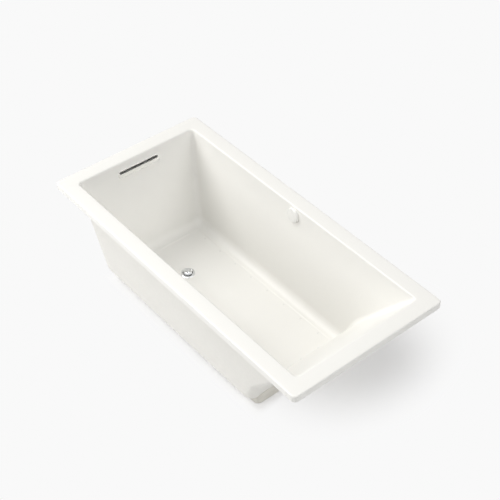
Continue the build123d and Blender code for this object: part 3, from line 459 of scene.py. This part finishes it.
def grain_group():
    """Fine and broad noise, added and centred on zero."""
    group, source, sink, at = pattern_group("surface_grain")
    fine = noise(group, at, source["Scale"], 4.0).outputs[0]
    broad = noise(group, at, 3.0, 2.0).outputs[0]
    centred = maths(group, "MULTIPLY_ADD", maths(group, "ADD", fine, broad), 0.5, -0.5)
    return finish_group(group, source, sink, centred, fine)


STRAND_BEND = (0.25, 0.25, 0.25)
STRAND_WAYS = ((1.0, 0.16, 0.6), (0.2, 1.0, 0.22))
STRAND_EDGE = 0.12


def strand_group():
    """Chopped strands under resin, lengthwise and crosswise: the edges of stretched, bent
    cells, over fine noise."""
    group, source, sink, at = pattern_group("strand_spray")
    bend = noise(group, at, 9.0, 2.0).outputs["Color"]
    bent = vector_maths(group, "MULTIPLY_ADD", bend, STRAND_BEND, at)
    fields = []
    for way in STRAND_WAYS:
        cells = put(group, "ShaderNodeTexVoronoi",
                    {"Vector": vector_maths(group, "MULTIPLY", bent, way),
                     "Scale": source["Scale"]}, feature="DISTANCE_TO_EDGE")
        fields.append(faded(group, cells.outputs["Distance"], 0.0, STRAND_EDGE))
    fine = noise(group, at, source["Scale"], 5.0).outputs[0]
    height = maths(group, "MULTIPLY_ADD", maths(group, "MULTIPLY", *fields), 0.35, fine)
    return finish_group(group, source, sink, maths(group, "ADD", height, -0.75), height)


def wood_group():
    """Growth rings: distorted bands across the board, with fine fibre along it."""
    group, source, sink, at = pattern_group("wood_rings")
    bands = put(group, "ShaderNodeTexWave",
                {"Vector": at, "Scale": source["Scale"], "Distortion": 5.0, "Detail": 3.0,
                 "Detail Scale": 0.7}, bands_direction="DIAGONAL", wave_profile="SAW")
    fibre = noise(group, at, 420.0, 6.0).outputs[0]
    both = maths(group, "MULTIPLY_ADD", bands.outputs["Fac"], 0.6, fibre)
    return finish_group(group, source, sink, maths(group, "ADD", both, -0.8), both)


def crystal_group():
    """Crystals of a zinc or moulding skin: a plain tone per cell, and fine noise."""
    group, source, sink, at = pattern_group("crystal_skin")
    cells = put(group, "ShaderNodeTexVoronoi", {"Vector": at, "Scale": source["Scale"]})
    tone = put(group, "ShaderNodeSeparateColor", {0: cells.outputs["Color"]}).outputs[0]
    fine = noise(group, at, 300.0, 3.0).outputs[0]
    both = maths(group, "MULTIPLY_ADD", fine, 0.4, tone)
    return finish_group(group, source, sink, maths(group, "ADD", both, -0.7), both)


GROUPS = {"grain": grain_group(), "strand": strand_group(), "wood": wood_group(),
          "crystal": crystal_group()}


def material(name, pattern, colour, roughness, tint=0.03, scale=60.0, stretch=(1, 1, 1),
             height=0.0001, variation=0.05, **constants):
    """A Principled material fed by a shared pattern; constants go on its own sockets."""
    made = bpy.data.materials.new(name)
    made.use_nodes = True
    tree = made.node_tree
    shader = tree.nodes["Principled BSDF"]
    surface = put(tree, "ShaderNodeGroup", node_tree=GROUPS[pattern])
    for socket, value in (("Colour", (*colour, 1)), ("Tint", tint), ("Scale", scale),
                          ("Stretch", stretch), ("Height", height), ("Roughness", roughness),
                          ("Variation", variation)):
        surface.inputs[socket].default_value = value
    for given, taken in (("Colour", "Base Color"), ("Roughness", "Roughness"),
                         ("Normal", "Normal")):
        tree.links.new(surface.outputs[given], shader.inputs[taken])
    for socket, value in constants.items():
        shader.inputs[socket.replace("_", " ")].default_value = value
    return made


MATERIALS = {
    "acrylic": material("acrylic_gloss", "grain", (0.84, 0.832, 0.80), 0.40, tint=0.012, scale=25,
                        height=0.00002, variation=0.05, Specular_IOR_Level=0.35,
                        Coat_Weight=0.04, Coat_Roughness=0.15),
    "fibreglass": material("fibreglass_spray", "strand", (0.80, 0.79, 0.75), 0.50, tint=0.05,
                           scale=60, height=0.0005, variation=0.12),
    "board": material("board_resin", "strand", (0.74, 0.72, 0.66), 0.58, tint=0.10, scale=38,
                      height=0.0006, variation=0.15),
    "rail_x": material("rail_wood_long", "wood", (0.50, 0.335, 0.18), 0.60, tint=0.55, scale=26,
                       stretch=(0.06, 1, 1), height=0.0003, variation=0.12),
    "rail_y": material("rail_wood_across", "wood", (0.50, 0.335, 0.18), 0.60, tint=0.55, scale=26,
                       stretch=(1, 0.06, 1), height=0.0003, variation=0.12),
    "pad": material("pad_compound", "crystal", (0.10, 0.105, 0.11), 0.7, tint=0.6, scale=260,
                    height=0.0003, variation=0.2),
    "chrome": material("chrome_polish", "grain", (0.74, 0.75, 0.76), 0.08, tint=0.02, scale=40,
                       height=0.000004, variation=0.04, Metallic=1.0),
    "brass": material("brass_turned", "grain", (0.62, 0.44, 0.17), 0.28, tint=0.2, scale=90,
                      stretch=(1, 1, 6), height=0.00003, variation=0.15, Metallic=1.0),
    "steel": material("steel_brushed", "grain", (0.56, 0.57, 0.58), 0.3, tint=0.15, scale=160,
                      stretch=(0.2, 0.2, 4), height=0.00004, variation=0.18, Metallic=1.0),
    "zinc_sheet": material("zinc_sheet", "crystal", (0.50, 0.52, 0.53), 0.40, tint=0.35, scale=70,
                           height=0.00002, variation=0.2, Metallic=1.0),
    "rubber": material("rubber_black", "grain", (0.02, 0.02, 0.02), 0.65, tint=0.4, scale=500,
                       height=0.00006, variation=0.15),
    "pvc_pale": material("pvc_pale", "grain", (0.90, 0.90, 0.88), 0.45, tint=0.03, scale=70,
                         height=0.00006, variation=0.1),
    "pvc": material("pvc_white", "grain", (0.74, 0.74, 0.71), 0.36, tint=0.05, scale=70,
                    height=0.00006, variation=0.1),
    "abs_black": material("abs_black", "grain", (0.024, 0.024, 0.026), 0.45, tint=0.3, scale=700,
                          height=0.0001, variation=0.12),
    "control_white": material("control_gloss", "grain", (0.84, 0.835, 0.81), 0.22, tint=0.012,
                              scale=40, height=0.00001, variation=0.04, Coat_Weight=0.2),
    "hose": material("hose_flexible", "grain", (0.30, 0.315, 0.33), 0.42, tint=0.15, scale=120,
                     height=0.0001, variation=0.12),
    "tube": material("tube_milky", "grain", (0.62, 0.67, 0.70), 0.3, tint=0.05, scale=60,
                     height=0.00003, variation=0.08, Transmission_Weight=0.35),
    "motor_paint": material("motor_enamel", "grain", (0.03, 0.032, 0.036), 0.35, tint=0.2,
                            scale=260, height=0.00012, variation=0.14, Coat_Weight=0.2),
}

# How far behind the wall's face the plating of the overflow trim starts and is whole
PLATING_START, PLATING_WHOLE = 0.0012, 0.0002


def plated_front(made, plane):
    """Metallic x step(distance along the plane's normal): plated in front of the wall, and the
    plain casting behind it."""
    tree = made.node_tree
    shader = tree.nodes["Principled BSDF"]
    normal = plane.to_3x3().col[2]
    place = put(tree, "ShaderNodeTexCoord").outputs["Object"]
    along = vector_maths(tree, "DOT_PRODUCT", place, tuple(normal))
    level = plane.translation.dot(normal)
    front = faded(tree, along, level - PLATING_START, level - PLATING_WHOLE)
    tree.links.new(front, shader.inputs["Metallic"])
    return made


MATERIALS["overflow_chrome"] = plated_front(
    material("overflow_plate", "grain", (0.90, 0.90, 0.895), 0.12, tint=0.02, scale=40,
             height=0.000004, variation=0.04), OVERFLOW_PLANE)

# Nodes with a finish of their own, in place of the one named by their slot
OWN_FINISH = {"overflow_trim": "overflow_chrome", "overflow_body": "pvc_pale",
              "stopper_post": "chrome"}

slot_of = {s["node"]: s["material_slot"] for s in frame["record"]["subparts"]}
for name, node in frame["nodes"].items():
    finish = OWN_FINISH.get(name, slot_of[name])
    if finish == "rail":
        finish = "rail_y" if name.endswith("_end") else "rail_x"
    for slot in node.material_slots:
        slot.material = MATERIALS[finish]
    if not node.material_slots:
        node.data.materials.append(MATERIALS[finish])
for made, finish in ((shell, "acrylic"), (backing, "fibreglass"), (hose_loop, "hose"),
                     (hose_riser, "hose")):
    made.data.materials.clear()
    made.data.materials.append(MATERIALS[finish])

# Floor: its tone, its level where nothing shades it, and the background's white
FLOOR_TONE, FLOOR_LIT, BACKGROUND = 0.80, 0.80, 0.947
FLOOR_ROUGHNESS = 0.9
FLOOR_HALF, FLOOR_SQUARES = 14, 8

# Where its shading shows: the round patch under the head end, and the strip round the base
SHADOW_SHARE, SHADOW_SOLID, SHADOW_END = 0.8, 0.10, 0.45
SHADOW_MIDDLE, SHADOW_SQUASH = (0.47, 0.30, 0.0), (1.0, 0.75, 0.0)
BASE_MIDDLE, BASE_HALF, CONTACT_REACH = (-0.09, 0.0, 0.0), (0.523, 0.248, 0.0), 0.06

floor_mesh = bpy.data.meshes.new("studio_floor")
grid = bmesh.new()
bmesh.ops.create_grid(grid, x_segments=FLOOR_SQUARES, y_segments=FLOOR_SQUARES, size=FLOOR_HALF)
grid.to_mesh(floor_mesh)
grid.free()
floor = bpy.data.objects.new("studio_floor", floor_mesh)
scene.collection.objects.link(floor)


def seen_directly(tree):
    """1 for rays from the camera, a reflection or a see-through surface, 0 for light."""
    path = put(tree, "ShaderNodeLightPath").outputs
    either = maths(tree, "MAXIMUM", path["Is Camera Ray"], path["Is Glossy Ray"])
    return maths(tree, "MAXIMUM", either, path["Is Transmission Ray"])


def shadow_share(tree):
    """How much of the floor's own shading shows: a round patch under the head end, fading
    to none, and a strip round the base, where max(|x| - half length, |y| - half width) is
    small. The rest of the ground is the background's even white."""
    at = put(tree, "ShaderNodeTexCoord").outputs["Object"]
    away = vector_maths(tree, "SUBTRACT", at, SHADOW_MIDDLE)
    reach = vector_maths(tree, "LENGTH", vector_maths(tree, "MULTIPLY", away, SHADOW_SQUASH))
    patch = faded(tree, reach, SHADOW_SOLID, SHADOW_END, SHADOW_SHARE, 0.0, "SMOOTHSTEP")
    aside = vector_maths(tree, "ABSOLUTE", vector_maths(tree, "SUBTRACT", at, BASE_MIDDLE))
    past = put(tree, "ShaderNodeSeparateXYZ",
               {0: vector_maths(tree, "SUBTRACT", aside, BASE_HALF)}).outputs
    further = maths(tree, "MAXIMUM", past[0], past[1])
    contact = faded(tree, further, 0.0, CONTACT_REACH, SHADOW_SHARE, 0.0, "SMOOTHSTEP")
    return maths(tree, "MAXIMUM", patch, contact)


def floor_material():
    """Pale diffuse floor. Seen directly it is share x (shading - lit level) + background, so
    that only the shadow shows. From below it is clear, so that the underside can be seen."""
    made = bpy.data.materials.new("studio_floor")
    made.use_nodes = True
    tree = made.node_tree
    shader = tree.nodes["Principled BSDF"]
    shader.inputs["Base Color"].default_value = (FLOOR_TONE, FLOOR_TONE, FLOOR_TONE, 1)
    shader.inputs["Roughness"].default_value = FLOOR_ROUGHNESS
    shader.inputs["Specular IOR Level"].default_value = 0.0
    share = shadow_share(tree)
    rest = maths(tree, "SUBTRACT", 1.0, share)
    level = maths(tree, "MULTIPLY_ADD", share, -FLOOR_LIT, BACKGROUND)
    white = put(tree, "ShaderNodeEmission",
                {"Color": (1, 1, 1, 1), "Strength": maths(tree, "DIVIDE", level, rest)})
    shown = maths(tree, "MULTIPLY", seen_directly(tree), rest)
    above = put(tree, "ShaderNodeMixShader",
                {0: shown, 1: shader.outputs[0], 2: white.outputs[0]})
    clear = put(tree, "ShaderNodeBsdfTransparent")
    below = put(tree, "ShaderNodeNewGeometry").outputs["Backfacing"]
    mix = put(tree, "ShaderNodeMixShader", {0: below, 1: above.outputs[0], 2: clear.outputs[0]})
    tree.links.new(mix.outputs[0], tree.nodes["Material Output"].inputs["Surface"])
    return made


floor_mesh.materials.append(floor_material())

# Light: an even dome, and flat lamps as name, place, aim, size, watts and colour
DOME_COLOUR, DOME_STRENGTH = (0.985, 0.99, 1.0, 1), 0.12
WHITE = (1, 1, 1)
LAMPS = (
    ("key", (-9.0, -3.5, 11.5), (0.1, 0, 0.2), (8.0, 8.0), 1340, (1.0, 0.99, 0.97)),
    ("front_fill", (-2.2, -5.0, 2.6), (0, 0, 0.3), (3.4, 2.4), 146, WHITE),
    ("head_side", (12.5, 1.5, 6.2), (0, 0, 0.3), (7.5, 6.0), 670, WHITE),
    ("back_side", (0.2, 11.5, 9.8), (0, 0, 0.3), (8.5, 7.5), 170, WHITE),
    ("over_front", (0.2, -1.6, 4.0), (0.1, 0, 0.2), (2.4, 2.4), 37, WHITE),
    ("over_back", (1.2, 1.6, 4.0), (0.1, 0, 0.2), (2.4, 2.4), 12, WHITE))


def dome():
    """Even dome for light; the camera and reflections see the paler background instead."""
    made = bpy.data.worlds.new("studio")
    made.use_nodes = True
    tree = made.node_tree
    light = tree.nodes["Background"]
    light.inputs["Color"].default_value = DOME_COLOUR
    light.inputs["Strength"].default_value = DOME_STRENGTH
    seen = put(tree, "ShaderNodeBackground", {"Color": (1, 1, 1, 1), "Strength": BACKGROUND})
    mix = put(tree, "ShaderNodeMixShader", {0: seen_directly(tree), 1: light.outputs[0],
                                            2: seen.outputs[0]})
    tree.links.new(mix.outputs[0], tree.nodes["World Output"].inputs["Surface"])
    scene.world = made


def softbox(name, at, towards, size, power, colour):
    """A large flat lamp turned towards a point."""
    lamp = bpy.data.lights.new(name, "AREA")
    lamp.shape = "RECTANGLE"
    lamp.size, lamp.size_y = size
    lamp.energy = power
    lamp.color = colour
    made = bpy.data.objects.new(name, lamp)
    made.location = at
    made.rotation_euler = (Vector(towards) - Vector(at)).to_track_quat("-Z", "Y").to_euler()
    scene.collection.objects.link(made)


dome()
for row in LAMPS:
    softbox(*row)
scene.view_settings.view_transform = "Standard"
